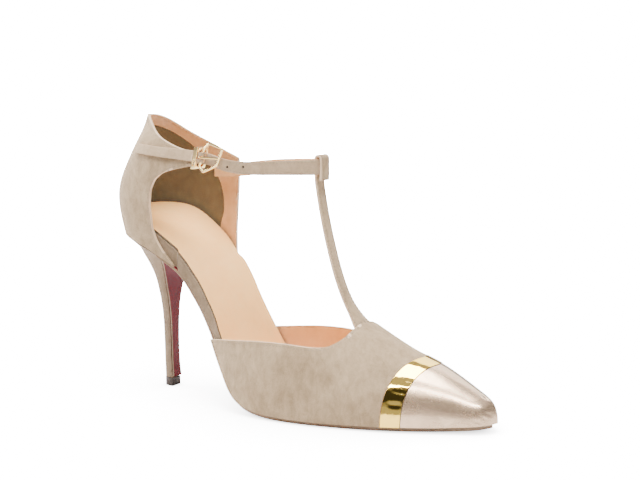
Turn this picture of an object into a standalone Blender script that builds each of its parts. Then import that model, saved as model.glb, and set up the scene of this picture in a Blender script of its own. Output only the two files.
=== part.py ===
# A right-foot stiletto with a pointed closed toe, open waist, T-strap and buckled ankle strap.
# Units are metres. The origin is on the floor at the middle of the heel tip's flat face,
# X points to the toe, Y to the inner (medial) side of the foot and Z up.

import bpy
import bmesh
import numpy as np
from math import cos, pi, radians, sin

COLLECTION_NAME = "T-strap stiletto"
CUTTER_COLLECTION_NAME = "Cutters"

# Last
SHOE_LENGTH = 0.2188          # seat back to toe tip, level
SEAT_BACK = 0.0243            # seat back behind the heel tip's centre
SEAT_HEIGHT = 0.0865          # feather line above the floor at the seat back
BALL_WIDTH = 0.071            # feather outline across the joints
SEAT_ROUND = 0.0303           # length of the seat's rounded back
SEAT_POWER = 2.15             # superellipse power of its round
TOE_ROUND = 0.0075            # length of the toe's rounded tip
THROAT_HEIGHT = 0.0465        # last above the floor at the throat
TOPLINE_TILT = 0.034          # fall of the vamp's topline to the medial side, per metre
COUNTER_HEIGHT = 0.1515       # top of the back above the floor

# Walls and clearances
GAP = 0.0003                  # between pieces that meet
UPPER_WALL = 0.0018
CAP_WALL = 0.0006             # toe cap and band leather
BAND_PROUD = 0.00025          # how far the band stands over the suede

# Sole, heel and insole
SOLE_EDGE_INSET = 0.0009      # outsole edge inside the feather outline
SOLE_FORE_THICKNESS = 0.0022
SOLE_WAIST_THICKNESS = 0.0015
BREAST_LEATHER = 0.0011       # sole leather that runs down the heel breast
HEEL_TIP_HEIGHT = 0.0046
HEEL_TIP_FLANGE = 0.00015     # how far the heel tip stands out round the stem
BOARD_THICKNESS = 0.0090      # at the waist, measured upright
VAMP_CLEARANCE = 0.0012       # board edge inside the vamp
SOCK_THICKNESS = 0.0012
SOCK_INSET = 0.0008           # sock edge inside the board edge

# Straps
STRAP_THICKNESS = 0.0012
STRAP_WIDTH = 0.0079          # ankle strap where the T-strap holds it
TSTRAP_THICKNESS = 0.0012
TSTRAP_WIDTH = 0.0078
LOOP_BOW = 0.0010             # the strap's edges behind its middle at the loop
LOOP_FRONT = 0.0988           # ankle strap's middle at the T-strap, forward of the origin
LOOP_HEIGHT = 0.8304 * COUNTER_HEIGHT    # and above the floor
TSTRAP_ROOT = 0.916  # the T-strap's foot inside the throat, as a share of THROAT_HEIGHT
BUCKLE_STRAP_THICKNESS = 0.0011
BUCKLE_STRAP_WIDTH = 0.0054
STRAP_ROOT = -0.0056          # buckle strap's sewn end, forward of the origin
STRAP_ROOT_SHARE = 0.8792     # and up as a share of COUNTER_HEIGHT

# Buckle
BUCKLE_WIRE = 0.00075         # wire radius
PRONG_WIRE = 0.00050
# Middle of the bar that the strap folds round
BUCKLE_BAR = (0.0392, -0.3268 * BALL_WIDTH, 0.8574 * COUNTER_HEIGHT)
BUCKLE_REACH = 0.0118         # bar to bar
BUCKLE_HEIGHT = 0.0094
BUCKLE_LEAN = 0.0036          # the bars' top ends lie this much further forward
KEEPER_WIDTH = 0.0023
KEEPER_WALL = 0.0006
KEEPER_HEIGHT = 0.0102
KEEPER_X = 0.0352
STRAP_TUCK = -0.2521 * BALL_WIDTH   # middle of the ankle strap's end beside the keeper

# Share of the shoe's length from the seat back, then: feather height as a share of the seat
# height, middle line towards the medial side and half width as shares of the ball width
LAST_BOTTOM = [
    # station, height, middle, half
    (0.000, 1.020, 0.000, 0.355),
    (0.056, 0.981, 0.000, 0.359),
    (0.111, 0.941, 0.000, 0.359),
    (0.152, 0.896, 0.000, 0.359),
    (0.194, 0.839, 0.002, 0.347),
    (0.230, 0.763, 0.004, 0.335),
    (0.255, 0.677, 0.004, 0.330),
    (0.278, 0.592, 0.004, 0.327),
    (0.298, 0.509, -0.002, 0.329),
    (0.318, 0.425, -0.011, 0.335),
    (0.339, 0.331, -0.025, 0.349),
    (0.366, 0.227, -0.039, 0.370),
    (0.396, 0.125, -0.053, 0.398),
    (0.421, 0.074, -0.056, 0.420),
    (0.450, 0.048, -0.052, 0.444),
    (0.514, 0.029, -0.030, 0.484),
    (0.591, 0.025, -0.009, 0.495),
    (0.650, 0.025, 0.004, 0.475),
    (0.705, 0.027, 0.009, 0.442),
    (0.774, 0.029, 0.012, 0.382),
    (0.833, 0.032, 0.014, 0.317),
    (0.888, 0.035, 0.016, 0.241),
    (0.934, 0.041, 0.016, 0.173),
    (0.970, 0.047, 0.016, 0.122),
    (1.000, 0.054, 0.016, 0.073),
]

# Where the vamp's rows start on the feather line and end on the ridge, both as shares of the
# shoe's length, and the ridge's height there as a share of the throat height
VAMP_ROWS = [
    # feather, ridge, height
    (0.312, 0.312, 1.760),
    (0.385, 0.385, 1.630),
    (0.476, 0.476, 1.440),
    (0.568, 0.568, 1.230),
    (0.614, 0.614, 1.105),
    (0.650, 0.655, 1.010),
    (0.674, 0.688, 0.953),
    (0.696, 0.723, 0.872),
    (0.736, 0.782, 0.748),
    (0.778, 0.825, 0.682),
    (0.820, 0.862, 0.622),
    (0.873, 0.902, 0.532),
    (0.924, 0.936, 0.440),
    (0.967, 0.962, 0.360),
    (1.000, 0.978, 0.305),
]
VAMP_BULGE = 2.25             # superellipse power of the vamp's sections
BAND_BACK = 0.7781            # feather stations of the band's edges, shares of length
BAND_FRONT = 0.8203
VAMP_BACK = 0.3142            # rear corner of the vamp

# Side view of the vamp's topline: share of the shoe's length, share of the throat height
VAMP_TOPLINE = [
    # station, height
    (0.314, 0.735),
    (0.369, 0.768),
    (0.419, 0.794),
    (0.463, 0.811),
    (0.503, 0.817),
    (0.541, 0.815),
    (0.577, 0.804),
    (0.602, 0.796),
    (0.618, 0.7965),
    (0.630, 0.801),
    (0.641, 0.818),
    (0.649, 0.838),
    (0.657, 0.864),
    (0.6632, 0.890),
    (0.6672, 0.918),
    (0.6692, 0.948),
    (0.6702, 1.000),
    (0.6708, 1.118),
]

# The back part by height: heights and back positions as shares of the counter height, half
# widths as shares of the ball width
QUARTER_SECTIONS = [
    # height, back, half
    (0.350, 0.1400, 0.3670),
    (0.460, 0.1480, 0.3560),
    (0.515, 0.1550, 0.3560),
    (0.574, 0.1605, 0.3560),
    (0.600, 0.1690, 0.3620),
    (0.640, 0.1800, 0.3720),
    (0.700, 0.1870, 0.3790),
    (0.752, 0.1795, 0.3740),
    (0.812, 0.1500, 0.3550),
    (0.865, 0.1235, 0.3200),
    (0.917, 0.1000, 0.2580),
    (0.964, 0.0800, 0.1950),
    (1.010, 0.0720, 0.1500),
]
QUARTER_FRONT = 0.0335        # front reach of both sides

# Side view of the back part's topline: X and Z as shares of the counter height
QUARTER_TOPLINE = [
    # forward, medial height, lateral height
    (-0.100, 1.000, 1.000),
    (-0.072, 0.995, 0.997),
    (-0.040, 0.977, 0.985),
    (-0.010, 0.953, 0.963),
    (0.020, 0.930, 0.940),
    (0.047, 0.914, 0.921),
    (0.090, 0.893, 0.903),
    (0.146, 0.865, 0.884),
    (0.222, 0.833, 0.868),
]

# Front edges of the back part in side view, X and Z as shares of the counter height
LATERAL_EDGE = [
    # forward, height
    (0.150, 0.420),
    (0.129, 0.482),
    (0.092, 0.520),
    (0.065, 0.561),
    (0.051, 0.600),
    (0.046, 0.680),
    (0.050, 0.735),
    (0.066, 0.775),
    (0.096, 0.799),
    (0.140, 0.812),
    (0.190, 0.822),
    (0.260, 0.830),
]
MEDIAL_EDGE = [
    # forward, height
    (0.196, 0.330),
    (0.194, 0.540),
    (0.195, 0.680),
    (0.203, 0.770),
    (0.213, 0.850),
]

# Heel levels from the tip up. Front and back heights as shares of the seat height, the
# breast and back positions and the half width as shares of the ball width
HEEL_SECTIONS = [
    # front height, back height, breast, back, half
    (0.160, 0.160, 0.030, -0.056, 0.0435),
    (0.390, 0.390, 0.028, -0.060, 0.0445),
    (0.520, 0.520, 0.028, -0.073, 0.0590),
    (0.590, 0.590, 0.029, -0.088, 0.0775),
    (0.676, 0.676, 0.033, -0.106, 0.1070),
    (0.733, 0.736, 0.042, -0.126, 0.1340),
    (0.800, 0.820, 0.068, -0.178, 0.1860),
    (0.835, 0.872, 0.088, -0.211, 0.2320),
    (0.858, 0.915, 0.104, -0.228, 0.2640),
    (0.876, 0.955, 0.116, -0.260, 0.3020),
]
HEEL_FOOT = (0.044, -0.049, 0.0500)      # breast, back and half width at the tip
BREAST_TOP = 0.120                       # breast position under the board, share of ball width

# Insole heights over the feather line, upright, as shares of the board thickness
BOARD_TABLE = [
    # station, thickness
    (0.012, 1.60),
    (0.124, 1.58),
    (0.164, 1.44),
    (0.200, 1.30),
    (0.235, 1.29),
    (0.286, 1.44),
    (0.326, 1.46),
    (0.367, 1.30),
    (0.407, 0.96),
    (0.448, 0.58),
    (0.519, 0.33),
    (0.903, 0.29),
]
BOARD_CUP = 0.0038            # how far the seat's edges rise over its middle
BOARD_TILT = 0.0027           # the medial edge's rise and the lateral edge's fall behind the ball


# Shares of the length where the sole, the board and the vamp all have a row of points
STATIONS = [
    0.035, 0.063, 0.093, 0.124, 0.156, 0.180, 0.199, 0.209, 0.217, 0.235, 0.247, 0.257, 0.267,
    0.279, 0.291, 0.303, 0.312, 0.326, 0.341, 0.357, 0.372, 0.387, 0.402, 0.417, 0.438, 0.463,
    0.498, 0.539, 0.584, 0.625, 0.660, 0.701, 0.741, 0.778, 0.820, 0.863, 0.903, 0.934, 0.959,
    0.979, 0.994, 1.002,
]


def slopes(xs, ys):
    """Slopes of a smooth curve that keeps the table's rises and falls."""
    steps = np.diff(xs)
    rates = np.diff(ys) / steps
    result = np.zeros(len(xs))
    result[0], result[-1] = rates[0], rates[-1]
    for i in range(1, len(xs) - 1):
        if rates[i - 1] * rates[i] > 0:
            before = 2 * steps[i] + steps[i - 1]
            after = steps[i] + 2 * steps[i - 1]
            result[i] = (before + after) / (before / rates[i - 1] + after / rates[i])
    return result


def curve_through(table, column, along=0):
    """A smooth function through one column of a table, flat beyond its ends."""
    xs = np.array([row[along] for row in table], float)
    ys = np.array([row[column] for row in table], float)
    grades = slopes(xs, ys)

    def value(x):
        x = min(max(x, xs[0]), xs[-1])
        i = min(int(np.searchsorted(xs, x, side="right")) - 1, len(xs) - 2)
        step = xs[i + 1] - xs[i]
        t = (x - xs[i]) / step
        return ((1 + 2 * t) * (1 - t) ** 2 * ys[i] + t * (1 - t) ** 2 * step * grades[i]
                + t * t * (3 - 2 * t) * ys[i + 1] + t * t * (t - 1) * step * grades[i + 1])
    return value


bottom_height = curve_through(LAST_BOTTOM, 1)
bottom_middle = curve_through(LAST_BOTTOM, 2)
bottom_half = curve_through(LAST_BOTTOM, 3)
row_ridge = curve_through(VAMP_ROWS, 1)
row_height = curve_through(VAMP_ROWS, 2)
quarter_back = curve_through(QUARTER_SECTIONS, 1)
quarter_half = curve_through(QUARTER_SECTIONS, 2)
medial_topline = curve_through(QUARTER_TOPLINE, 1)
lateral_topline = curve_through(QUARTER_TOPLINE, 2)
board_share = curve_through(BOARD_TABLE, 1)


def station(x):
    return (x + SEAT_BACK) / SHOE_LENGTH


def place(share):
    return share * SHOE_LENGTH - SEAT_BACK


def feather_z(x):
    return bottom_height(station(x)) * SEAT_HEIGHT


def rounding(share, power):
    share = min(max(share, 0.0), 1.0)
    return (1 - share ** power) ** (1 / power)


def outline_y(x, side, inset=0.0):
    """Feather outline at x: side is -1 for lateral and +1 for medial."""
    seat_end, toe_end = place(0) + inset, place(1) - inset
    half = bottom_half(station(x)) * BALL_WIDTH - inset
    half *= rounding((place(0) + SEAT_ROUND - x) / (place(0) + SEAT_ROUND - seat_end), SEAT_POWER)
    half *= rounding((x - place(1) + TOE_ROUND) / (toe_end - place(1) + TOE_ROUND), 2.0)
    return bottom_middle(station(x)) * BALL_WIDTH + side * half


# Collections, materials and meshes

def new_collection(name):
    collection = bpy.data.collections.new(name)
    bpy.context.scene.collection.children.link(collection)
    return collection


def material(name, colour, roughness, metallic=0.0):
    result = bpy.data.materials.new(name)
    result.use_nodes = True
    shader = result.node_tree.nodes["Principled BSDF"]
    shader.inputs["Base Color"].default_value = (*colour, 1.0)
    shader.inputs["Roughness"].default_value = roughness
    shader.inputs["Metallic"].default_value = metallic
    return result


def add_object(name, mesh, collection, finish=None):
    piece = bpy.data.objects.new(name, mesh)
    collection.objects.link(piece)
    if finish:
        mesh.materials.append(finish)
    return piece


def mesh_from(name, points, faces):
    mesh = bpy.data.meshes.new(name)
    mesh.from_pydata([tuple(map(float, p)) for p in points], [], faces)
    shape = bmesh.new()
    shape.from_mesh(mesh)
    bmesh.ops.remove_doubles(shape, verts=shape.verts, dist=0.000002)
    bmesh.ops.recalc_face_normals(shape, faces=shape.faces)
    shape.to_mesh(mesh)
    shape.free()
    mesh.shade_smooth()
    mesh.set_sharp_from_angle(angle=radians(35))
    return mesh


def shell_mesh(name, outer, inner, folded=False):
    """Closed wall between two grids; the last row of a folded one lies against itself."""
    rows, columns = outer.shape[:2]
    points = np.concatenate([outer.reshape(-1, 3), inner.reshape(-1, 3)])
    count = rows * columns
    faces = []
    for i in range(rows - 1):
        for j in range(columns - 1):
            a, b = i * columns + j, i * columns + j + 1
            c, d = b + columns, a + columns
            faces.append((a, b, c, d))
            faces.append((count + d, count + c, count + b, count + a))
    rim = [(0, j) for j in range(columns - 1)]
    rim += [(i, columns - 1) for i in range(rows - 1)]
    rim += [(rows - 1, j) for j in range(columns - 1, 0, -1)]
    rim += [(i, 0) for i in range(rows - 1, 0, -1)]
    ring = [i * columns + j for i, j in rim]
    for a, b in zip(ring, ring[1:] + ring[:1]):
        if not (folded and min(a, b) >= (rows - 1) * columns):
            faces.append((b, a, count + a, count + b))
    return mesh_from(name, points, faces)


def loft_mesh(name, rings):
    """Closed solid through rings of points, with flat-laid caps at both ends."""
    size = len(rings[0])
    points = np.concatenate([np.array(ring, float) for ring in rings])
    faces = []
    for k in range(len(rings) - 1):
        for j in range(size):
            a, b = k * size + j, k * size + (j + 1) % size
            faces.append((a, b, b + size, a + size))
    for start in (0, (len(rings) - 1) * size):
        for j in range(size // 2 - 1):
            quad = (start + j, start + j + 1, start + size - 2 - j, start + size - 1 - j)
            faces.append(quad if quad[1] != quad[2] else (quad[0], quad[1], quad[3]))
    return mesh_from(name, points, faces)


def grid_normals(grid):
    """Unit normals of a grid of points, outwards when rows run forward and columns go over."""
    along = np.gradient(grid, axis=0)
    across = np.gradient(grid, axis=1)
    normals = np.cross(along, across)
    lengths = np.linalg.norm(normals, axis=2, keepdims=True)
    return normals / np.maximum(lengths, 1e-12)


def boolean(target, cutter, operation):
    modifier = target.modifiers.new(cutter.name, "BOOLEAN")
    modifier.operation = operation
    modifier.solver = "EXACT"
    modifier.object = cutter


def make_cutter(name, mesh, cutters):
    cutter = add_object(name, mesh, cutters)
    cutter.hide_render = True
    cutter.display_type = "WIRE"
    return cutter


def side_prism(name, profile, y_low, y_high, cutters, tilt=0.0):
    """A flat shape in the XZ plane, extruded across the shoe and sunk by tilt per metre."""
    count = len(profile)
    points = [(x, y, z - tilt * y) for y in (y_low, y_high) for x, z in profile]
    faces = [tuple(range(count)), tuple(range(2 * count - 1, count - 1, -1))]
    for i in range(count):
        k = (i + 1) % count
        faces.append((i, k, count + k, count + i))
    return make_cutter(name, mesh_from(name, points, faces), cutters)


# Vamp, toe cap and band

VAMP_SIDE_STEPS = 13
UPPER_SEAT = GAP / 2          # the upper's lower edge over the feather surface


def vamp_row(share):
    """Points of one vamp section, from the lateral feather over the ridge to the medial one."""
    x_low, x_high = place(share), place(row_ridge(share))
    z_low = feather_z(x_low) + UPPER_SEAT
    z_high = row_height(share) * THROAT_HEIGHT
    y_high = bottom_middle(station(x_high)) * BALL_WIDTH
    row = []
    for side in (-1, 1):
        y_low = outline_y(x_low, side)
        half = []
        for k in range(VAMP_SIDE_STEPS + 1):
            turn = pi / 2 * k / VAMP_SIDE_STEPS
            inward = 1 - cos(turn) ** (2 / VAMP_BULGE) if k < VAMP_SIDE_STEPS else 1.0
            up = sin(turn) ** (2 / VAMP_BULGE)
            half.append((x_low + (x_high - x_low) * inward, y_low + (y_high - y_low) * inward,
                         z_low + (z_high - z_low) * up))
        row.append(half)
    return row[0] + row[1][-2::-1]


def stations_between(first, last):
    inner = [s for s in STATIONS if first + 0.004 < s < last - 0.004]
    return [first] + inner + [last]


def vamp_shares():
    rear = stations_between(VAMP_BACK, BAND_BACK)[:-1]
    band = [BAND_BACK + (BAND_FRONT - BAND_BACK) * k / 3 for k in range(3)]
    front = [BAND_FRONT + (1 - BAND_FRONT) * (1 - (1 - k / 10) ** 1.35) for k in range(11)]
    return rear + band + front


def vamp_surface():
    shares = vamp_shares()
    base = np.array([vamp_row(share) for share in shares])
    normals = grid_normals(base)
    tip = normals[-1] + normals[-1][::-1]
    tip[VAMP_SIDE_STEPS] = tip[VAMP_SIDE_STEPS - 1] + tip[VAMP_SIDE_STEPS + 1]
    normals[-1] = tip / np.linalg.norm(tip, axis=1, keepdims=True)
    return np.array(shares), base, normals


def edge_row(shares, base, share):
    """Base points at a share between the rows."""
    i = int(np.searchsorted(shares, share)) - 1
    t = (share - shares[i]) / (shares[i + 1] - shares[i])
    return base[i] * (1 - t) + base[i + 1] * t


def strip(shares, base, normals, start, end, lift):
    """Grid over the vamp surface between two feather stations, raised by lift."""
    keep = (shares > start + 1e-6) & (shares < end - 1e-6)
    rows = [edge_row(shares, base, start) + lift * edge_row(shares, normals, start)]
    rows += list(base[keep] + lift * normals[keep])
    last = base[-1] + lift * normals[-1] if end >= 1 else \
        edge_row(shares, base, end) + lift * edge_row(shares, normals, end)
    rows.append(last)
    return np.array(rows)


def make_vamp(parts, cutters, finish):
    shares, base, normals = vamp_surface()
    recess = CAP_WALL + GAP
    half_gap = GAP / SHOE_LENGTH / 2
    rear = strip(shares, base, normals, shares[0], BAND_BACK - half_gap, UPPER_WALL)
    front = strip(shares, base, normals, BAND_BACK, 1.0, UPPER_WALL - recess)
    outer = np.concatenate([rear, front])
    rear_in = strip(shares, base, normals, shares[0], BAND_BACK - half_gap, 0.0)
    front_in = strip(shares, base, normals, BAND_BACK, 1.0, 0.0)
    inner = np.concatenate([rear_in, front_in])
    vamp = add_object("vamp", shell_mesh("vamp", outer, inner, folded=True), parts, finish)

    profile = [(place(s), h * THROAT_HEIGHT) for s, h in VAMP_TOPLINE]
    top = THROAT_HEIGHT * 2.2
    profile += [(profile[-1][0], top), (place(0.2), top), (place(0.2), profile[0][1])]
    opening = side_prism("foot opening", profile, -BALL_WIDTH, BALL_WIDTH, cutters, TOPLINE_TILT)
    boolean(vamp, opening, "DIFFERENCE")
    boolean(vamp, make_tstrap(cutters), "UNION")
    return shares, base, normals


def make_overlays(parts, surface, cap_finish, band_finish):
    shares, base, normals = surface
    half_gap = GAP / SHOE_LENGTH / 2
    for name, start, end, proud, finish in (
            ("toe_band", BAND_BACK + half_gap, BAND_FRONT - half_gap, BAND_PROUD, band_finish),
            ("toe_cap", BAND_FRONT + half_gap, 1.0, 0.0, cap_finish)):
        outer = strip(shares, base, normals, start, end, UPPER_WALL + proud)
        inner = strip(shares, base, normals, start, end, UPPER_WALL - CAP_WALL)
        mesh = shell_mesh(name, outer, inner, folded=end >= 1)
        add_object(name, mesh, parts, finish)


# T-strap: a band that rises from the throat, folds over the ankle strap and ends in front.
# Forward and up from the loop's middle, then width and bow as shares of TSTRAP_WIDTH and LOOP_BOW

TSTRAP_ROUTE = [
    # forward, up, width, side, bow
    (0.0310, -0.0832, 2.30, 0.0006, 2.4),
    (0.0268, -0.0812, 2.20, 0.0004, 2.1),
    (0.0240, -0.0795, 1.95, 0.0002, 1.7),
    (0.0216, -0.0768, 1.55, -0.0001, 1.3),
    (0.0193, -0.0737, 1.26, -0.0003, 1.0),
    (0.0165, -0.0698, 1.08, -0.0005, 0.8),
    (0.0139, -0.0655, 1.01, -0.0005, 0.6),
    (0.0101, -0.0568, 1.00, -0.0005, 0.5),
    (0.0072, -0.0478, 1.00, -0.0005, 0.5),
    (0.0040, -0.0360, 1.00, -0.0005, 0.6),
    (0.0016, -0.0250, 1.00, -0.0004, 0.8),
    (-0.0002, -0.0150, 1.00, -0.0003, 1.0),
]


def ribbon_rings(route, thickness, bows=None, columns=3):
    """Rectangular rings along a route of (point, width, across direction).

    A bow is how far the ribbon's edges lie behind its middle line.
    """
    bows = bows or [0.0] * len(route)
    spread = np.linspace(-0.5, 0.5, columns)
    points = np.array([r[0] for r in route], float)
    tangents = np.gradient(points, axis=0)
    tangents /= np.linalg.norm(tangents, axis=1, keepdims=True)
    rings = []
    for (point, width, across), tangent, bow in zip(route, tangents, bows):
        across = np.array(across, float)
        across /= np.linalg.norm(across)
        normal = np.cross(tangent, across)
        normal /= np.linalg.norm(normal)
        point = np.array(point, float)
        middle = [point + across * width * k - np.array((4 * bow * k * k, 0, 0)) for k in spread]
        lower = [m - normal * thickness / 2 for m in middle]
        upper = [m + normal * thickness / 2 for m in middle]
        rings.append(lower + upper[::-1])
    return rings


def make_tstrap(cutters):
    leg = STRAP_THICKNESS / 2 + GAP * 1.5 + TSTRAP_THICKNESS / 2
    top = STRAP_WIDTH / 2 + GAP
    rise = (LOOP_HEIGHT - TSTRAP_ROOT * THROAT_HEIGHT) / -TSTRAP_ROUTE[0][1]
    route = [((LOOP_FRONT + f, s, LOOP_HEIGHT + u * rise), w * TSTRAP_WIDTH, (0, 1, 0))
             for f, u, w, s, _ in TSTRAP_ROUTE]
    width, side = TSTRAP_WIDTH, TSTRAP_ROUTE[-1][3]
    fold = [(-leg * 0.75, -top - 0.0045), (-leg, -top - 0.0008), (-leg, 0.0), (-leg, top * 0.9)]
    fold += [(-leg * cos(a), top + leg * sin(a)) for a in np.linspace(0.15, pi - 0.15, 7)]
    fold += [(leg, top * 0.9), (leg, 0.0), (leg, -top), (leg * 0.93, -top - 0.0024)]
    route += [((LOOP_FRONT + f, side, LOOP_HEIGHT + u), width, (0, 1, 0)) for f, u in fold]
    bows = [row[4] * LOOP_BOW for row in TSTRAP_ROUTE] + [LOOP_BOW] * len(fold)
    mesh = loft_mesh("t-strap", ribbon_rings(route, TSTRAP_THICKNESS, bows, columns=5))
    return make_cutter("t-strap", mesh, cutters)


# Back part

def quarter_point(turn, z, inset=0.0):
    """Point of the back part's surface: turn runs 0 to 1 from lateral front to medial front."""
    share = z / COUNTER_HEIGHT
    round_front = place(0) + SEAT_ROUND
    back = -quarter_back(share) * COUNTER_HEIGHT + inset
    half = quarter_half(share) * BALL_WIDTH
    straight = 0.30
    side = -1 if turn < 0.5 else 1
    along = 1 - abs(turn - 0.5) * 2
    if along < straight:
        x = QUARTER_FRONT - (QUARTER_FRONT - round_front) * along / straight
        y = half * abs(outline_y(x, side)) / (quarter_half(feather_z(x) / COUNTER_HEIGHT)
                                              * BALL_WIDTH) - inset
    else:
        angle = pi / 2 * (along - straight) / (1 - straight)
        x = round_front - (round_front - back) * sin(angle) ** (2 / SEAT_POWER)
        y = (half - inset) * cos(angle) ** (2 / SEAT_POWER) if along < 1 else 0.0
    return np.array((x, side * y, z))


def quarter_grid(inset, rows=11, columns=37):
    grid = []
    for i in range(rows):
        row = []
        for j in range(columns):
            turn, share = j / (columns - 1), i / (rows - 1)
            topline = lateral_topline if turn < 0.5 else medial_topline
            point = quarter_point(turn, SEAT_HEIGHT, inset)
            for _ in range(6):
                low = feather_z(point[0]) + UPPER_SEAT
                high = topline(point[0] / COUNTER_HEIGHT) * COUNTER_HEIGHT
                point = quarter_point(turn, low + (high - low) * share, inset)
            row.append(point)
        grid.append(row)
    return np.array(grid)


def make_quarter(parts, cutters, finish):
    mesh = shell_mesh("quarter", quarter_grid(0.0), quarter_grid(UPPER_WALL))
    quarter = add_object("quarter", mesh, parts, finish)
    reach = COUNTER_HEIGHT * 0.4
    for name, edge, low, high in (("lateral cut", LATERAL_EDGE, -BALL_WIDTH, 0.0),
                                  ("medial cut", MEDIAL_EDGE, 0.0, BALL_WIDTH)):
        profile = [(f * COUNTER_HEIGHT, h * COUNTER_HEIGHT) for f, h in edge]
        if name == "medial cut":
            profile += [(profile[-1][0], COUNTER_HEIGHT)]
            profile += [(reach, COUNTER_HEIGHT)]
        else:
            profile += [(reach, profile[-1][1])]
        profile += [(reach, SEAT_HEIGHT * 0.3), (profile[0][0], SEAT_HEIGHT * 0.3)]
        boolean(quarter, side_prism(name, profile, low, high, cutters), "DIFFERENCE")


# Heel and heel tip

HEEL_STEPS = 11


def heel_ring(breast, back, half, front_z, back_z):
    """D-shaped ring: a flat breast and a round back, lateral corner first."""
    ring = []
    for k in range(2 * HEEL_STEPS):
        turn = pi * k / (2 * HEEL_STEPS - 1)
        share = sin(turn)
        x = breast - (breast - back) * share
        z = front_z + (back_z - front_z) * share
        ring.append((x, -half * cos(turn), z))
    return ring


def seat_ring():
    """Top ring on the feather surface, following the seat's outline."""
    breast = BREAST_TOP * BALL_WIDTH
    ring = []
    for k in range(2 * HEEL_STEPS):
        turn = pi * k / (2 * HEEL_STEPS - 1)
        x = breast - (breast - place(0)) * sin(turn) ** 0.8
        y = outline_y(max(x, place(0) + 1e-9), -1 if cos(turn) > 0 else 1)
        ring.append((x, y, feather_z(x) - GAP / 2))
    return ring


def make_heel(parts, suede, rubber):
    width, height = BALL_WIDTH, SEAT_HEIGHT
    breast, back, half = (value * width for value in HEEL_FOOT)
    foot = HEEL_TIP_HEIGHT + GAP
    rings = [heel_ring(breast, back, half, foot, foot)]
    for front_z, back_z, breast_x, back_x, half_y in HEEL_SECTIONS:
        rings.append(heel_ring(breast_x * width, back_x * width, half_y * width,
                               front_z * height, back_z * height))
    rings.append(seat_ring())
    add_object("heel", loft_mesh("heel", rings), parts, suede)

    out = HEEL_TIP_FLANGE
    tip = [heel_ring(breast + out, back - out, half + out, z, z) for z in (0, HEEL_TIP_HEIGHT)]
    add_object("heel_tip", loft_mesh("heel_tip", tip), parts, rubber)


# Outsole: a thin sole from the toe to the waist, which turns down over the heel breast

def sole_half(x, side):
    return outline_y(x, side, SOLE_EDGE_INSET)


def sole_thickness(x):
    share = min(max((station(x) - 0.36) / 0.10, 0.0), 1.0)
    blend = share * share * (3 - 2 * share)
    return SOLE_WAIST_THICKNESS + (SOLE_FORE_THICKNESS - SOLE_WAIST_THICKNESS) * blend


def breast_line():
    """The heel breast from top to tip in side view, with its half width."""
    rows = [(b * BALL_WIDTH, z * SEAT_HEIGHT, h * BALL_WIDTH) for z, _, b, _, h in HEEL_SECTIONS]
    rows = rows[::-1]
    foot = HEEL_TIP_HEIGHT + 3 * GAP
    rows.append((HEEL_FOOT[0] * BALL_WIDTH, foot, HEEL_FOOT[2] * BALL_WIDTH))
    return rows


def make_outsole(parts, finish):
    rings = []
    toe, corner = place(1) - SOLE_EDGE_INSET, BREAST_TOP * BALL_WIDTH
    bend = station(corner + BREAST_LEATHER + GAP)
    for share in reversed(stations_between(bend, station(toe - 1e-5))):
        x = place(share)
        slope = (feather_z(x + 0.0005) - feather_z(x - 0.0005)) / 0.001
        upright = sole_thickness(x) * (1 + slope * slope) ** 0.5
        top = feather_z(x) - GAP / 2
        low = max(top - upright, 0.0)
        left, right = sole_half(x, -1), sole_half(x, 1)
        rings.append([(x, left, top), (x, (left + right) / 2, top), (x, right, top),
                      (x, right, low), (x, (left + right) / 2, low), (x, left, low)])
    slim = GAP / 2
    flap = []
    for breast, z, half in breast_line():
        inner, outer = breast + GAP, breast + GAP + BREAST_LEATHER
        half -= slim
        flap.append([(inner, -half, z), (inner, 0, z), (inner, half, z),
                     (outer, half, z), (outer, 0, z), (outer, -half, z)])
    left, right = rings[-1][0][1], rings[-1][2][1]
    top = feather_z(corner + GAP) - GAP / 2
    corner_ring = [(corner + GAP, left, top), (corner + GAP, 0, top), (corner + GAP, right, top)]
    corner_ring += rings[-1][3:]
    rings[-1] = corner_ring
    add_object("outsole", loft_mesh("outsole", rings + flap), parts, finish)


# Insole board and sock

def board_top(x, y):
    """Top of the board: cupped in the seat, tilted a little in the waist."""
    share = station(x)
    base = feather_z(x) + GAP / 2 + board_share(share) * BOARD_THICKNESS
    middle, half = bottom_middle(share) * BALL_WIDTH, bottom_half(share) * BALL_WIDTH
    across = (y - middle) / half
    seat = min(max((0.30 - share) / 0.15, 0.0), 1.0)
    waist = min(max((0.46 - share) / 0.10, 0.0), 1.0)
    return base + seat * BOARD_CUP * (across * across - 1) + waist * BOARD_TILT * across


def board_inset(x, side):
    """How far the board's edge stays inside the feather outline, flush in the open waist alone."""
    inside = UPPER_WALL + GAP
    clear_of_wall = 0.209 if side < 0 else 0.258
    ease = 0.008
    into = min(max((station(x) - clear_of_wall) / ease, 0.0), 1.0)
    out = min(max((station(x) - VAMP_BACK + ease) / ease, 0.0), 1.0)
    return inside - (inside - GAP) * into + (VAMP_CLEARANCE - GAP) * out


INSOLE_COLUMNS = (-1.0, -0.8, -0.4, 0.0, 0.4, 0.8, 1.0)


def insole_edge(x, side, extra):
    return outline_y(x, side, board_inset(x, side) + extra)


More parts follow.
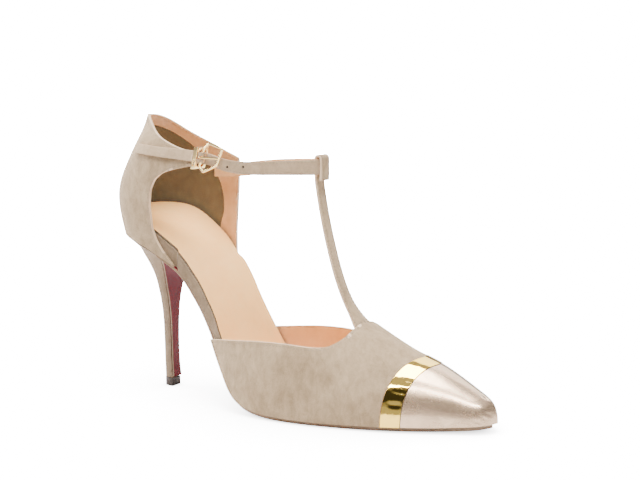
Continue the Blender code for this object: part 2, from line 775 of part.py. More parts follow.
def make_insole(parts, suede, leather):
    inside = UPPER_WALL + GAP
    toe_stop = 0.905
    for name, finish, extra, low_lift, high_lift in (
            ("insole_board", suede, 0.0, None, 0.0),
            ("insole_sock", leather, SOCK_INSET, GAP, GAP + SOCK_THICKNESS)):
        start = (inside + extra + 0.0002) / SHOE_LENGTH
        rows_top, rows_low = [], []
        back_rows = [start, start + 0.003, start + 0.009, start + 0.018]
        for share in back_rows + stations_between(start + 0.022, toe_stop)[1:]:
            x = place(share)
            left, right = insole_edge(x, -1, extra), insole_edge(x, 1, extra)
            middle, half = (left + right) / 2, (right - left) / 2
            ys = [middle + half * c for c in INSOLE_COLUMNS]
            top = [(x, y, board_top(x, y) + high_lift) for y in ys]
            if low_lift is None:
                low = [(x, y, feather_z(x) + GAP / 2) for y in ys]
            else:
                low = [(x, y, board_top(x, y) + low_lift) for y in ys]
            rows_top.append(top)
            rows_low.append(low)
        mesh = shell_mesh(name, np.array(rows_top), np.array(rows_low))
        add_object(name, mesh, parts, finish)


# Ankle strap, buckle strap, buckle, prong and keeper

# Forward of the strap's middle, across as a share of BALL_WIDTH, up as a share of COUNTER_HEIGHT,
# and the width as a share of STRAP_WIDTH
ANKLE_ROUTE = [
    # forward, across, up, width
    (0.0170, 0.2789, 0.7888, 0.90),
    (0.0260, 0.2676, 0.7921, 0.92),
    (0.0340, 0.2662, 0.7960, 0.94),
    (0.0450, 0.2859, 0.8046, 0.96),
    (0.0570, 0.2915, 0.8125, 0.98),
    (0.0690, 0.2634, 0.8178, 1.00),
    (0.0800, 0.2183, 0.8224, 1.00),
    (0.0892, 0.1662, 0.8257, 1.00),
    (0.0947, 0.1183, 0.8284, 1.00),
    (0.0977, 0.0634, 0.8297, 1.00),
    (0.0988, 0.0000, 0.8304, 1.00),
    (0.0977, -0.0634, 0.8304, 0.99),
    (0.0942, -0.1211, 0.8304, 0.98),
    (0.0888, -0.1690, 0.8297, 0.95),
    (0.0808, -0.2225, 0.8284, 0.91),
    (0.0710, -0.2789, 0.8264, 0.86),
    (0.0610, -0.3113, 0.8277, 0.81),
    (0.0540, -0.3169, 0.8330, 0.78),
    (0.0490, -0.3085, 0.8389, 0.76),
    (0.0440, -0.2789, 0.8455, 0.75),
    (0.0380, -0.2535, 0.8502, 0.74),
    (0.0300, -0.2465, 0.8521, 0.74),
    (0.0220, -0.2507, 0.8535, 0.74),
]


def smooth_route(table, steps):
    """Evenly spread points on a smooth curve through the table's rows."""
    data = np.array(table, float)
    lengths = np.concatenate([[0], np.cumsum(np.linalg.norm(np.diff(data[:, :3], axis=0), axis=1))])
    rows = [(s, *row) for s, row in zip(lengths, data)]
    columns = [curve_through(rows, c + 1) for c in range(data.shape[1])]
    return [[column(s) for column in columns] for s in np.linspace(0, lengths[-1], steps)]


def make_ankle_strap(parts, finish):
    table = [(f, a * BALL_WIDTH, u * COUNTER_HEIGHT, w) for f, a, u, w in ANKLE_ROUTE]
    route = [((f, a, u), w * STRAP_WIDTH, (0, 0, 1)) for f, a, u, w in smooth_route(table, 72)]
    mesh = loft_mesh("ankle_strap", ribbon_rings(route, STRAP_THICKNESS))
    add_object("ankle_strap", mesh, parts, finish)


def make_buckle_strap(parts, cutters, finish):
    """Short strap laid on the lateral wall, folded round the buckle's bar."""
    bar_x, bar_y, bar_z = BUCKLE_BAR
    off = GAP + BUCKLE_STRAP_THICKNESS / 2
    start = (STRAP_ROOT, STRAP_ROOT_SHARE * COUNTER_HEIGHT)
    rings = []
    for k in range(12):
        x = start[0] + (QUARTER_FRONT - 0.001 - start[0]) * k / 11
        z = start[1] + (bar_z + 0.0004 - start[1]) * k / 11
        width = BUCKLE_STRAP_WIDTH * (0.86 + 0.14 * k / 11)
        inner, outer = [], []
        for c in (-0.5, 0.0, 0.5):
            x_edge = x + BUCKLE_LEAN / BUCKLE_HEIGHT * k / 11 * c * width
            y = wall_y(x_edge, z + c * width) - GAP * 1.2
            inner.append((x_edge, y, z + c * width))
            outer.append((x_edge, y - BUCKLE_STRAP_THICKNESS, z + c * width))
        rings.append(inner + outer[::-1])
    turn_radius = BUCKLE_WIRE + off
    lean = (BUCKLE_LEAN, 0, BUCKLE_HEIGHT)
    fold = []
    for angle in np.linspace(-0.15, pi, 8):
        point = (bar_x + turn_radius * sin(angle), bar_y - turn_radius * cos(angle), bar_z)
        fold.append((point, BUCKLE_STRAP_WIDTH, lean))
    fold.append(((bar_x - 0.0030, bar_y + turn_radius, bar_z), BUCKLE_STRAP_WIDTH, lean))
    rings += ribbon_rings(fold, BUCKLE_STRAP_THICKNESS)
    mesh = loft_mesh("buckle_strap", rings)
    strap = add_object("buckle_strap", mesh, parts, finish)
    slot = 2 * (PRONG_WIRE + GAP)
    profile = [(bar_x - turn_radius - 0.0012, bar_z - slot / 2), (bar_x + 0.004, bar_z - slot / 2),
               (bar_x + 0.004, bar_z + slot / 2), (bar_x - turn_radius - 0.0012, bar_z + slot / 2)]
    boolean(strap, side_prism("prong slot", profile, -BALL_WIDTH, 0, cutters), "DIFFERENCE")


def wall_y(x, z):
    """The back part's lateral outer surface at a forward position and a height."""
    low, high = 0.0, 0.5
    for _ in range(40):
        middle = (low + high) / 2
        if quarter_point(middle, z)[0] > x:
            low = middle
        else:
            high = middle
    return quarter_point(low, z)[1]


def wire(name, points, radius, parts, finish, closed=False):
    curve = bpy.data.curves.new(name, "CURVE")
    curve.dimensions = "3D"
    curve.bevel_depth = radius
    curve.bevel_resolution = 2
    curve.use_fill_caps = True
    spline = curve.splines.new("POLY")
    spline.points.add(len(points) - 1)
    for target, point in zip(spline.points, points):
        target.co = (*point, 1.0)
    spline.use_cyclic_u = closed
    curve.materials.append(finish)
    piece = bpy.data.objects.new(name, curve)
    parts.objects.link(piece)
    return piece


def rounded_corners(corners, radius, steps=3):
    """A closed path through corners, each cut round by a short arc."""
    points = []
    count = len(corners)
    for i in range(count):
        here = np.array(corners[i], float)
        before = np.array(corners[i - 1], float) - here
        after = np.array(corners[(i + 1) % count], float) - here
        start = here + before / np.linalg.norm(before) * radius
        end = here + after / np.linalg.norm(after) * radius
        for t in np.linspace(0, 1, steps):
            points.append((1 - t) ** 2 * start + 2 * t * (1 - t) * here + t * t * end)
    return points


def make_buckle(parts, gold):
    bar_x, bar_y, bar_z = BUCKLE_BAR
    half, lean = BUCKLE_HEIGHT / 2, BUCKLE_LEAN / 2
    out = -0.0010
    corners = [
        (bar_x - lean, bar_y, bar_z - half),
        (bar_x - lean + 0.0026, bar_y + out * 0.2, bar_z - half - 0.0030),
        (bar_x + BUCKLE_REACH - lean, bar_y + out, bar_z - half + 0.0008),
        (bar_x + BUCKLE_REACH + lean, bar_y + out, bar_z + half + 0.0002),
        (bar_x + lean + 0.0032, bar_y + out * 0.2, bar_z + half + 0.0026),
        (bar_x + lean, bar_y, bar_z + half),
    ]
    wire("buckle_frame", rounded_corners(corners, 0.0007), BUCKLE_WIRE, parts, gold, closed=True)

    round_bar = BUCKLE_WIRE + GAP + PRONG_WIRE
    hook = [(bar_x + round_bar * sin(a), bar_y - round_bar * cos(a), bar_z)
            for a in np.linspace(-2.4, 0.0, 7)]
    rest = bar_y + out - BUCKLE_WIRE - GAP - PRONG_WIRE
    hook += [(bar_x + BUCKLE_REACH * 0.5, (hook[-1][1] + rest) / 2, bar_z - 0.0001),
             (bar_x + BUCKLE_REACH, rest, bar_z - 0.0002),
             (bar_x + BUCKLE_REACH + 0.0012, rest + 0.0001, bar_z - 0.0002)]
    wire("buckle_prong", hook, PRONG_WIRE, parts, gold)


def make_keeper(parts, cutters, gold):
    """A flat metal loop round the folded strap, with a small slot low in its face."""
    bar_y, bar_z = BUCKLE_BAR[1], BUCKLE_BAR[2]
    outer_y = wall_y(QUARTER_FRONT - 0.001, bar_z) - GAP - BUCKLE_STRAP_THICKNESS - GAP
    face = min(outer_y, bar_y - BUCKLE_WIRE - 2 * GAP - BUCKLE_STRAP_THICKNESS)
    inner_y = STRAP_TUCK + STRAP_THICKNESS / 2 + 2 * GAP
    half = KEEPER_HEIGHT / 2
    rings = []
    for x in (KEEPER_X, KEEPER_X + KEEPER_WIDTH):
        ring = []
        for grow in (0.0, KEEPER_WALL):
            for y, z in ((face - grow, -half - grow), (inner_y + grow, -half - grow),
                         (inner_y + grow, half + grow), (face - grow, half + grow)):
                ring.append((x + BUCKLE_LEAN * 0.35 * z / half, y, bar_z - 0.0004 + z))
        rings.append(ring)
    points = np.array(rings[0] + rings[1])
    faces = []
    for k in range(4):
        n = (k + 1) % 4
        faces.append((k, n, 8 + n, 8 + k))
        faces.append((4 + n, 4 + k, 12 + k, 12 + n))
        faces.append((k, 4 + k, 4 + n, n))
        faces.append((8 + k, 8 + n, 12 + n, 12 + k))
    keeper = add_object("keeper", mesh_from("keeper", points, faces), parts, gold)
    slot_x, slot_z = KEEPER_X + KEEPER_WIDTH / 2 - 0.0005, bar_z - half * 0.55
    profile = [(slot_x + 0.00045 * cos(a) + lean, slot_z + 0.0013 * up + 0.00045 * sin(a))
               for a, up, lean in ((radians(200), -1, -0.0004), (radians(340), -1, -0.0004),
                                   (radians(20), 1, 0.0004), (radians(160), 1, 0.0004))]
    cut = side_prism("keeper slot", profile, face - 0.003, face + 0.0005, cutters)
    boolean(keeper, cut, "DIFFERENCE")


def build():
    for item in list(bpy.data.objects):
        bpy.data.objects.remove(item, do_unlink=True)
    parts = new_collection(COLLECTION_NAME)
    cutters = new_collection(CUTTER_COLLECTION_NAME)

    suede = material("taupe suede", (0.52, 0.45, 0.36), 0.9)
    heel_suede = material("heel suede", (0.50, 0.44, 0.35), 0.9)
    strap_suede = material("strap suede", (0.54, 0.46, 0.37), 0.9)
    red_leather = material("red sole leather", (0.30, 0.010, 0.022), 0.35)
    sock_leather = material("peach leather", (0.83, 0.62, 0.44), 0.45)
    pearl = material("pearl leather", (0.66, 0.58, 0.50), 0.3, 0.35)
    gold = material("gold leather", (0.90, 0.66, 0.22), 0.12, 1.0)
    buckle_gold = material("buckle gold", (0.95, 0.78, 0.40), 0.2, 1.0)
    rubber = material("heel tip rubber", (0.045, 0.028, 0.018), 0.6)

    surface = make_vamp(parts, cutters, suede)
    make_overlays(parts, surface, pearl, gold)
    make_quarter(parts, cutters, suede)
    make_heel(parts, heel_suede, rubber)
    make_outsole(parts, red_leather)
    make_insole(parts, heel_suede, sock_leather)
    make_ankle_strap(parts, strap_suede)
    make_buckle_strap(parts, cutters, strap_suede)
    make_buckle(parts, buckle_gold)
    make_keeper(parts, cutters, buckle_gold)


build()
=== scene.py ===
import math

import bmesh
import bpy
import numpy as np
from mathutils import Matrix, Vector
from mathutils.bvhtree import BVHTree


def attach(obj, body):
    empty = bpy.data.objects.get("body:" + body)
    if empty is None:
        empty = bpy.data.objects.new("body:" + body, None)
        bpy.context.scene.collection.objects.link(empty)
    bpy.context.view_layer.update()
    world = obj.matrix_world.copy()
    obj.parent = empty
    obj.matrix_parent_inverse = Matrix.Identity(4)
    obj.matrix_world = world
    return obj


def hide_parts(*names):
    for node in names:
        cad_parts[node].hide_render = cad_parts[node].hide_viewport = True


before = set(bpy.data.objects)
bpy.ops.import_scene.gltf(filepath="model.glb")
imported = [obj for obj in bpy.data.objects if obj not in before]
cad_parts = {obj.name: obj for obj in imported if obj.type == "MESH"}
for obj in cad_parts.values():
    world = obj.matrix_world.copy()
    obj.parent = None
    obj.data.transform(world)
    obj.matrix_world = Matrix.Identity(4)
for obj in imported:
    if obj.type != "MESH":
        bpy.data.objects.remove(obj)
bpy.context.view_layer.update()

# selecting and shaping helpers

meshLimits = {
    # points closer than this become one, and quads are made up to these angles
    "merge": 0.000004, "quadFold": math.radians(28), "quadShape": math.radians(50),
    # a wall's two faces look away from each other by at least this
    "wallFacing": -0.6, "wallStart": 0.00002,
    # share of its depth under which a fold is left out
    "faintest": 0.02, "shortestLoop": 8,
}


def deselectAll():
    if bpy.context.object and bpy.context.object.mode != "OBJECT":
        bpy.ops.object.mode_set(mode="OBJECT")
    bpy.ops.object.select_all(action="DESELECT")


def makeActive(piece):
    deselectAll()
    piece.select_set(True)
    bpy.context.view_layer.objects.active = piece


def applyModifier(piece, kind, **settings):
    makeActive(piece)
    bpy.ops.object.modifier_add(type=kind)
    modifier = piece.modifiers[-1]
    for name, value in settings.items():
        setattr(modifier, name, value)
    bpy.ops.object.modifier_apply(modifier=modifier.name)


def copyOfNode(nodeName, pieceName, materials):
    # A merged copy of a CAD node, still in triangles.
    piece = bpy.data.objects.new(pieceName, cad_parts[nodeName].data.copy())
    bpy.context.scene.collection.objects.link(piece)
    piece.data.materials.clear()
    for material in materials:
        piece.data.materials.append(material)
    makeActive(piece)
    if piece.data.has_custom_normals:
        bpy.ops.mesh.customdata_custom_splitnormals_clear()
    bpy.ops.object.mode_set(mode="EDIT")
    bpy.ops.mesh.select_all(action="SELECT")
    bpy.ops.mesh.remove_doubles(threshold=meshLimits["merge"])
    bpy.ops.mesh.dissolve_degenerate(threshold=meshLimits["merge"])
    bpy.ops.mesh.mark_sharp(clear=True)
    bpy.ops.object.mode_set(mode="OBJECT")
    for polygon in piece.data.polygons:
        polygon.material_index = 0
    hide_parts(nodeName)
    return piece


def roundAndSmooth(piece, edgeRound, levels, sharpAngle=35, segments=2):
    # Triangles back to quads, soft edges, then a subdivision surface over them.
    makeActive(piece)
    bpy.ops.object.mode_set(mode="EDIT")
    bpy.ops.mesh.select_all(action="SELECT")
    bpy.ops.mesh.tris_convert_to_quads(face_threshold=meshLimits["quadFold"],
                                       shape_threshold=meshLimits["quadShape"], materials=True)
    bpy.ops.object.mode_set(mode="OBJECT")
    if edgeRound:
        applyModifier(piece, "BEVEL", width=edgeRound, segments=segments, limit_method="ANGLE",
                      angle_limit=math.radians(sharpAngle), use_clamp_overlap=True)
    if levels:
        applyModifier(piece, "SUBSURF", levels=levels, render_levels=levels)
    makeActive(piece)
    bpy.ops.object.shade_smooth()


def rideAndSlot(piece):
    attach(piece, "root")


def treeOf(piece, wanted=None):
    faces = [p.vertices[:] for p in piece.data.polygons if wanted is None or p.material_index in wanted]
    return BVHTree.FromPolygons([v.co[:] for v in piece.data.vertices], faces)


def sortWallFaces(piece, heart, thickest, outerIndex=0, innerIndex=1, rimIndex=2):
    # Faces of a thin wall: outer and inner have the wall behind them, rim faces do not.
    tree = treeOf(piece)
    for polygon in piece.data.polygons:
        centre = Vector(polygon.center)
        normal = Vector(polygon.normal)
        start = centre - normal * meshLimits["wallStart"]
        hit, hitNormal, index, distance = tree.ray_cast(start, -normal, thickest)
        isWall = hit is not None and hitNormal.dot(normal) < meshLimits["wallFacing"]
        if not isWall:
            polygon.material_index = rimIndex
        elif normal.dot(centre - heart(centre)) > 0:
            polygon.material_index = outerIndex
        else:
            polygon.material_index = innerIndex


def pressFold(piece, start, end, reach, depth):
    # A soft trough (depth above zero) or ridge (below zero) along one line.
    places = np.array([v.co for v in piece.data.vertices])
    begin = np.array(start)
    span = np.array(end) - begin
    along = np.clip((places - begin) @ span / (span @ span), 0, 1)
    away = np.linalg.norm(places - begin - along[:, None] * span, axis=1)
    # the fold is deepest in its middle and fades out towards both ends
    weights = np.exp(-(away / reach) ** 2) * np.sin(np.pi * np.clip(along * 0.9 + 0.05, 0, 1))
    group = piece.vertex_groups.new(name="fold")
    for vertex in np.nonzero(weights > meshLimits["faintest"])[0]:
        group.add([int(vertex)], float(weights[vertex]), "REPLACE")
    applyModifier(piece, "DISPLACE", strength=-depth, mid_level=0, vertex_group="fold")
    piece.vertex_groups.clear()


def rimLoops(piece, outerIndex, otherIndices):
    # Closed or open chains of points where the outer face meets the rim.
    mesh = bmesh.new()
    mesh.from_mesh(piece.data)
    mesh.normal_update()
    border = {}
    for edge in mesh.edges:
        kinds = {f.material_index for f in edge.link_faces}
        if outerIndex in kinds and kinds & set(otherIndices):
            outerFace = [f for f in edge.link_faces if f.material_index == outerIndex][0]
            border[edge] = (outerFace.normal.copy(), outerFace.calc_center_median())
    # kept in the mesh's own order, so that each run sews the same stitches
    left = dict.fromkeys(border)
    loops = []
    while left:
        edge = next(iter(left))
        del left[edge]
        chain = [edge.verts[0], edge.verts[1]]
        used = [edge]
        for side in (1, 0):
            while True:
                tip = chain[-1] if side else chain[0]
                options = [e for e in tip.link_edges if e in left]
                if not options:
                    break
                del left[options[0]]
                other = options[0].other_vert(tip)
                if side:
                    chain.append(other)
                    used.append(options[0])
                else:
                    chain.insert(0, other)
                    used.insert(0, options[0])
        rows = []
        for number, vertex in enumerate(chain):
            normal, middle = border[used[min(number, len(used) - 1)]]
            rows.append((vertex.co.copy(), normal, middle))
        loops.append(rows)
    mesh.free()
    return [rows for rows in loops if len(rows) > meshLimits["shortestLoop"]]


def sewLine(name, piece, look, keep, outerIndex=0, otherIndices=(1, 2), material=None):
    # A row of small stitches set just inside a rim, sunk into the outer face.
    outside = treeOf(piece, {outerIndex})
    template = stitchTemplate(look, material)
    stitches = []
    for rows in rimLoops(piece, outerIndex, otherIndices):
        inset = []
        for number, (place, normal, middle) in enumerate(rows):
            before = rows[max(number - 2, 0)][0]
            after = rows[min(number + 2, len(rows) - 1)][0]
            tangent = (after - before).normalized()
            inward = normal.cross(tangent).normalized()
            if inward.dot(middle - place) < 0:
                inward = -inward
            found, foundNormal, index, distance = outside.find_nearest(place + inward * look["inset"])
            inset.append((found, foundNormal))
        travelled = 0.0
        for (a, aNormal), (b, bNormal) in zip(inset[:-1], inset[1:]):
            step = (b - a).length
            if step < 1e-7:
                continue
            while travelled <= step:
                place = a.lerp(b, travelled / step)
                if keep(place):
                    normal = aNormal.lerp(bNormal, travelled / step).normalized()
                    stitches.append((place, normal, (b - a).normalized()))
                travelled += look["pitch"]
            travelled -= step
    copies = []
    for place, normal, along in stitches:
        across = normal.cross(along).normalized()
        turn = Matrix((along, across, normal)).transposed().to_4x4()
        stitch = template.copy()
        stitch.data = template.data.copy()
        bpy.context.scene.collection.objects.link(stitch)
        stitch.data.transform(Matrix.Translation(place + normal * look["lift"]) @ turn)
        copies.append(stitch)
    bpy.data.objects.remove(template)
    if not copies:
        return None
    deselectAll()
    for stitch in copies:
        stitch.select_set(True)
    bpy.context.view_layer.objects.active = copies[0]
    bpy.ops.object.join()
    copies[0].name = name
    print("stitches in", name, len(stitches))
    return copies[0]


def stitchTemplate(look, material):
    deselectAll()
    bpy.ops.mesh.primitive_uv_sphere_add(segments=8, ring_count=5, radius=0.5, location=(0, 0, 0))
    template = bpy.context.object
    bpy.ops.object.mode_set(mode="EDIT")
    bpy.ops.mesh.select_all(action="SELECT")
    bpy.ops.transform.rotate(value=math.pi / 2, orient_axis="Y", center_override=(0, 0, 0))
    bpy.ops.transform.resize(value=(look["length"], look["thread"], look["thread"] * 0.8))
    bpy.ops.object.mode_set(mode="OBJECT")
    bpy.ops.object.shade_smooth()
    template.data.materials.append(material)
    return template


# material helpers

def newMaterial(name):
    material = bpy.data.materials.new(name)
    material.use_nodes = True
    nodes = material.node_tree.nodes
    shader = nodes["Principled BSDF"]
    return material, nodes, material.node_tree.links, shader


def setSockets(shader, values):
    for name, value in values.items():
        shader.inputs[name].default_value = value


def addNoise(nodes, links, vector, scale, detail=3.0, roughness=0.55, distortion=0.0):
    noise = nodes.new("ShaderNodeTexNoise")
    noise.inputs["Scale"].default_value = scale
    noise.inputs["Detail"].default_value = detail
    noise.inputs["Roughness"].default_value = roughness
    noise.inputs["Distortion"].default_value = distortion
    links.new(vector, noise.inputs["Vector"])
    return noise.outputs["Fac"]


def addMath(nodes, links, operation, first, second, third=None):
    node = nodes.new("ShaderNodeMath")
    node.operation = operation
    for socket, value in zip(node.inputs, (first, second, third)):
        if value is None:
            continue
        if isinstance(value, (int, float)):
            socket.default_value = value
        else:
            links.new(value, socket)
    return node.outputs[0]


def addRange(nodes, links, value, low, high, toLow=0.0, toHigh=1.0):
    node = nodes.new("ShaderNodeMapRange")
    links.new(value, node.inputs["Value"])
    for name, number in (("From Min", low), ("From Max", high), ("To Min", toLow), ("To Max", toHigh)):
        node.inputs[name].default_value = number
    return node.outputs["Result"]


def addMix(nodes, links, amount, first, second):
    node = nodes.new("ShaderNodeMix")
    node.data_type = "RGBA"
    if isinstance(amount, (int, float)):
        node.inputs[0].default_value = amount
    else:
        links.new(amount, node.inputs[0])
    for socket, value in ((node.inputs[6], first), (node.inputs[7], second)):
        if isinstance(value, (tuple, list)):
            socket.default_value = value
        else:
            links.new(value, socket)
    return node.outputs[2]


def newGroup(name, inputs, outputs):
    group = bpy.data.node_groups.new(name, "ShaderNodeTree")
    for socketName, kind, default in inputs:
        socket = group.interface.new_socket(name=socketName, in_out="INPUT", socket_type=kind)
        if default is not None:
            socket.default_value = default
    for socketName, kind in outputs:
        group.interface.new_socket(name=socketName, in_out="OUTPUT", socket_type=kind)
    inside = group.nodes.new("NodeGroupInput")
    outside = group.nodes.new("NodeGroupOutput")
    return group, inside, outside


napTexture = {
    "brush": (1.0, 1.0, 0.42), "patchScale": 62, "strokeScale": 330, "grainScale": 2300, "fibreScale": 1150,
    "fineShare": 0.26, "roughness": (0.78, 0.98), "grainHeight": 0.45, "fibreHeight": 0.55,
}


def makeSuedeGroup():
    # Brushed nap: broad patches, small flecks and the fine grain of the fibres.
    group, inside, outside = newGroup(
        "suedeNap",
        [("Vector", "NodeSocketVector", None), ("Light", "NodeSocketColor", (0.6, 0.5, 0.4, 1)),
         ("Deep", "NodeSocketColor", (0.4, 0.35, 0.27, 1)), ("Patches", "NodeSocketFloat", 0.5),
         ("Flecks", "NodeSocketFloat", 0.3)],
        [("Color", "NodeSocketColor"), ("Roughness", "NodeSocketFloat"), ("Height", "NodeSocketFloat")])
    nodes, links = group.nodes, group.links
    vector = inside.outputs["Vector"]
    brushed = nodes.new("ShaderNodeMapping")
    brushed.inputs["Scale"].default_value = napTexture["brush"]
    links.new(vector, brushed.inputs["Vector"])
    patchNoise = addNoise(nodes, links, vector, napTexture["patchScale"], 4, 0.6, 0.8)
    patches = addRange(nodes, links, patchNoise, 0.32, 0.68)
    strokeNoise = addNoise(nodes, links, brushed.outputs[0], napTexture["strokeScale"], 4, 0.65, 0.5)
    strokes = addRange(nodes, links, strokeNoise, 0.3, 0.7)
    grain = addNoise(nodes, links, vector, napTexture["grainScale"], 3, 0.7)
    fibres = addNoise(nodes, links, brushed.outputs[0], napTexture["fibreScale"], 4, 0.7, 0.3)
    broad = addMath(nodes, links, "MULTIPLY", patches, inside.outputs["Patches"])
    small = addMath(nodes, links, "MULTIPLY", strokes, inside.outputs["Flecks"])
    fine = addMath(nodes, links, "MULTIPLY", addRange(nodes, links, grain, 0.3, 0.7), napTexture["fineShare"])
    amount = addMath(nodes, links, "ADD", addMath(nodes, links, "ADD", broad, small), fine)
    color = addMix(nodes, links, amount, inside.outputs["Light"], inside.outputs["Deep"])
    links.new(color, outside.inputs["Color"])
    links.new(addRange(nodes, links, grain, 0.3, 0.7, *napTexture["roughness"]), outside.inputs["Roughness"])
    height = addMath(nodes, links, "ADD",
                     addMath(nodes, links, "MULTIPLY", grain, napTexture["grainHeight"]),
                     addMath(nodes, links, "MULTIPLY", fibres, napTexture["fibreHeight"]))
    links.new(height, outside.inputs["Height"])
    return group


grainTexture = {
    "toneScale": 38, "wearScale": 210, "toneShare": 0.6, "wearShare": 0.3,
    "poreHeight": 0.7, "wearHeight": 0.3,
}


def makeGrainGroup():
    # Smooth leather: fine pores, faint wrinkles and slow changes of tone.
    group, inside, outside = newGroup(
        "leatherGrain",
        [("Vector", "NodeSocketVector", None), ("Light", "NodeSocketColor", (0.8, 0.65, 0.5, 1)),
         ("Deep", "NodeSocketColor", (0.7, 0.5, 0.36, 1)), ("Pores", "NodeSocketFloat", 1500.0),
         ("Smoothest", "NodeSocketFloat", 0.3), ("Roughest", "NodeSocketFloat", 0.5)],
        [("Color", "NodeSocketColor"), ("Roughness", "NodeSocketFloat"), ("Height", "NodeSocketFloat")])
    nodes, links = group.nodes, group.links
    vector = inside.outputs["Vector"]
    toneNoise = addNoise(nodes, links, vector, grainTexture["toneScale"], 3, 0.5, 0.6)
    tone = addRange(nodes, links, toneNoise, 0.3, 0.7)
    wearNoise = addNoise(nodes, links, vector, grainTexture["wearScale"], 4, 0.6)
    wear = addRange(nodes, links, wearNoise, 0.35, 0.7)
    cells = nodes.new("ShaderNodeTexVoronoi")
    cells.feature = "SMOOTH_F1"
    links.new(vector, cells.inputs["Vector"])
    links.new(inside.outputs["Pores"], cells.inputs["Scale"])
    amount = addMath(nodes, links, "ADD",
                     addMath(nodes, links, "MULTIPLY", tone, grainTexture["toneShare"]),
                     addMath(nodes, links, "MULTIPLY", wear, grainTexture["wearShare"]))
    links.new(addMix(nodes, links, amount, inside.outputs["Light"], inside.outputs["Deep"]),
              outside.inputs["Color"])
    span = addMath(nodes, links, "SUBTRACT", inside.outputs["Roughest"], inside.outputs["Smoothest"])
    links.new(addMath(nodes, links, "ADD", inside.outputs["Smoothest"],
                      addMath(nodes, links, "MULTIPLY", wear, span)), outside.inputs["Roughness"])
    pores = addMath(nodes, links, "MULTIPLY", cells.outputs["Distance"], grainTexture["poreHeight"])
    height = addMath(nodes, links, "ADD", pores,
                     addMath(nodes, links, "MULTIPLY", wear, grainTexture["wearHeight"]))
    links.new(height, outside.inputs["Height"])
    return group


suedeNap = makeSuedeGroup()
leatherGrain = makeGrainGroup()


def objectVector(nodes):
    return nodes.new("ShaderNodeTexCoord").outputs["Object"]


def placeGroup(nodes, links, group, vector, values):
    node = nodes.new("ShaderNodeGroup")
    node.node_tree = group
    links.new(vector, node.inputs["Vector"])
    for name, value in values.items():
        node.inputs[name].default_value = value
    return node


def wireBump(nodes, links, shader, height, distance, strength):
    bump = nodes.new("ShaderNodeBump")
    bump.inputs["Distance"].default_value = distance
    bump.inputs["Strength"].default_value = strength
    links.new(height, bump.inputs["Height"])
    links.new(bump.outputs[0], shader.inputs["Normal"])
    return bump


def makeSuede(name, look):
    material, nodes, links, shader = newMaterial(name)
    nap = placeGroup(nodes, links, suedeNap, objectVector(nodes), {
        "Light": look["light"], "Deep": look["deep"], "Patches": look["patches"], "Flecks": look["flecks"]})
    links.new(nap.outputs["Color"], shader.inputs["Base Color"])
    links.new(nap.outputs["Roughness"], shader.inputs["Roughness"])
    wireBump(nodes, links, shader, nap.outputs["Height"], look["napDepth"], look["napStrength"])
    setSockets(shader, {"Specular IOR Level": 0.18, "Sheen Weight": look["sheen"],
                        "Sheen Roughness": 0.45, "Sheen Tint": look["sheenTint"]})
    return material


def makeLeather(name, look):
    material, nodes, links, shader = newMaterial(name)
    grain = placeGroup(nodes, links, leatherGrain, objectVector(nodes), {
        "Light": look["light"], "Deep": look["deep"], "Pores": look["pores"],
        "Smoothest": look["smoothest"], "Roughest": look["roughest"]})
    links.new(grain.outputs["Color"], shader.inputs["Base Color"])
    links.new(grain.outputs["Roughness"], shader.inputs["Roughness"])
    wireBump(nodes, links, shader, grain.outputs["Height"], look["grainDepth"], look["grainStrength"])
    setSockets(shader, look.get("sockets", {}))
    return material


# the shoe's finishes

suedeLook = {
    "light": (0.535, 0.390, 0.238, 1), "deep": (0.245, 0.164, 0.090, 1), "patches": 0.46, "flecks": 0.36,
    "napDepth": 0.00025, "napStrength": 0.60, "sheen": 0.16, "sheenTint": (0.95, 0.86, 0.74, 1),
}
# a darker copy of the same suede, as painted shade on the heel and on the insole board's wrap
shadedSuedeLook = dict(suedeLook, light=(0.320, 0.224, 0.141, 1), deep=(0.158, 0.105, 0.061, 1), patches=0.36)
strapSuedeLook = dict(suedeLook, light=(0.545, 0.398, 0.252, 1), deep=(0.290, 0.196, 0.114, 1),
                      patches=0.26, flecks=0.34)
upperSuede = makeSuede("upperSuede", suedeLook)
shadedSuede = makeSuede("shadedSuede", shadedSuedeLook)
strapSuede = makeSuede("strapSuede", strapSuedeLook)

liningLook = {
    "light": (0.820, 0.460, 0.215, 1), "deep": (0.620, 0.310, 0.120, 1), "pores": 1500.0,
    "smoothest": 0.34, "roughest": 0.52, "grainDepth": 0.00006, "grainStrength": 0.35,
    "sockets": {"Coat Weight": 0.12, "Coat Roughness": 0.35},
}
vampLiningLook = dict(liningLook, light=(0.900, 0.620, 0.400, 1), deep=(0.760, 0.500, 0.300, 1))
sockLook = dict(liningLook, light=(1.000, 0.565, 0.205, 1), deep=(1.000, 0.500, 0.160, 1),
                smoothest=0.40, roughest=0.55, sockets={"Specular IOR Level": 0.3})
edgeLook = dict(liningLook, light=(0.760, 0.560, 0.370, 1), deep=(0.560, 0.385, 0.235, 1),
                smoothest=0.5, roughest=0.7, pores=2600.0, sockets={})
soleLook = {
    "light": (0.165, 0.0010, 0.007, 1), "deep": (0.105, 0.0008, 0.005, 1), "pores": 900.0,
    "smoothest": 0.28, "roughest": 0.42, "grainDepth": 0.00003, "grainStrength": 0.2,
    "sockets": {"Specular IOR Level": 0.12},
}
soleEdgeLook = {
    "light": (0.270, 0.160, 0.078, 1), "deep": (0.150, 0.082, 0.036, 1), "pores": 2400.0,
    "smoothest": 0.38, "roughest": 0.55, "grainDepth": 0.00005, "grainStrength": 0.4,
    "sockets": {"Coat Weight": 0.15, "Coat Roughness": 0.3},
}
tipLook = {
    "light": (0.052, 0.030, 0.018, 1), "deep": (0.030, 0.017, 0.010, 1), "pores": 3000.0,
    "smoothest": 0.42, "roughest": 0.6, "grainDepth": 0.00005, "grainStrength": 0.4, "sockets": {},
}
